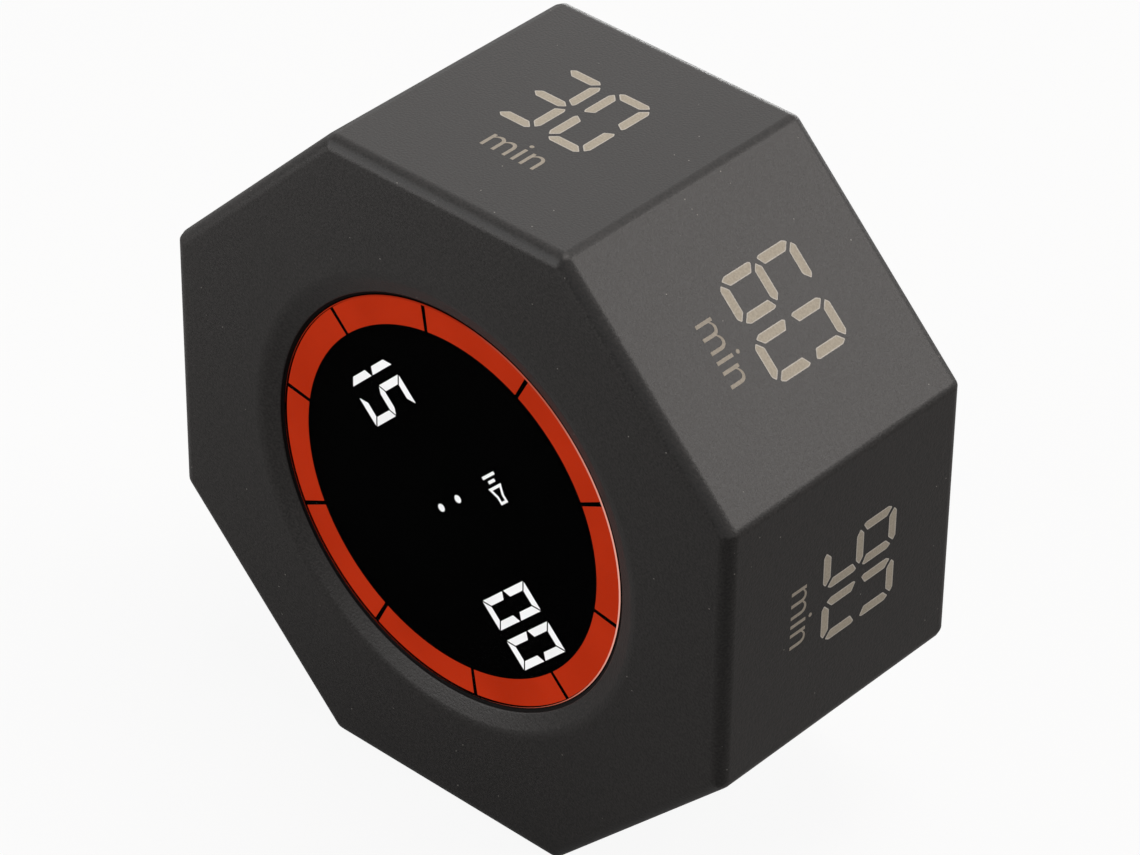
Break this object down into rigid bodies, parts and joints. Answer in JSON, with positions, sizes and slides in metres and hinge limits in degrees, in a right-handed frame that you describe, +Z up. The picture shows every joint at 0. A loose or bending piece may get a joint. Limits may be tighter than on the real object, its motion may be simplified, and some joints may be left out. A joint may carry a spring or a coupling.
{
  "type": "flip timer",
  "caption": "Octagonal prism countdown timer that stands on any flat side, with a round lit display in its front and a slide switch, push button and charging port in its back.",
  "frame": {"origin": "middle of the bottom side, on the surface that the timer stands on", "axes": "+Z up, display facing -Y, +X to the right seen from the front"},
  "size_m": [0.066, 0.0312, 0.066],
  "materials": {
    "body_plastic": "fine-grained matte moulding",
    "control_plastic": "fine-grained matte moulding",
    "lens_clear": "polished",
    "gasket_foam": "closed-cell foam",
    "display_black": "matt black",
    "light_orange": "lit diffuser",
    "light_white": "lit diffuser",
    "light_dark": "unlit smoked diffuser",
    "led_resin": "moulded resin",
    "board_green": "solder mask",
    "screw_steel": "plated",
    "pin_gold": "plated",
    "chip_black": "moulded",
    "ceramic_tan": "fired",
    "shell_steel": "drawn",
    "cell_foil": "satin foil",
    "tape_cream": "foam tape",
    "lead_red": "insulation",
    "connector_cream": "moulded"
  },
  "bodies": {
    "case": {"front_housing": "body_plastic", "rear_cover": "body_plastic", "cover_screws": "screw_steel", "display_lens": "lens_clear", "dust_gasket": "gasket_foam", "reflector_block": "display_black", "ring_segments": "light_orange", "digit_segments": "light_white", "blank_segments": "light_dark", "colon_dots": "light_white", "icon_strokes": "light_white", "segment_leds": "led_resin", "display_board": "board_green", "display_screws": "screw_steel", "link_header": "chip_black", "link_pins": "pin_gold", "main_board": "board_green", "board_screws": "screw_steel", "controller_chip": "chip_black", "motion_sensor": "chip_black", "charge_chip": "chip_black", "board_passives": "ceramic_tan", "buzzer": "chip_black", "usb_shell": "shell_steel", "usb_tongue": "chip_black", "slide_switch_case": "shell_steel", "press_switch_case": "chip_black", "battery_cell": "cell_foil", "battery_tape": "tape_cream", "battery_leads": "lead_red", "battery_plug": "connector_cream", "battery_socket": "connector_cream"},
    "slider": {"mode_slider": "control_plastic", "slide_switch_lever": "chip_black"},
    "button": {"power_button": "control_plastic", "press_switch_plunger": "connector_cream"}
  },
  "joints": [
    {"name": "slider_travel", "type": "slide", "parent": "case", "child": "slider", "axis": [0, 0, 1], "range_m": [-0.0015, 0.0015]},
    {"name": "button_press", "type": "slide", "parent": "case", "child": "button", "axis": [0, -1, 0], "range_m": [0, 0.0005], "stiffness_N_per_m": 2000, "springref_m": -0.0002}
  ]
}
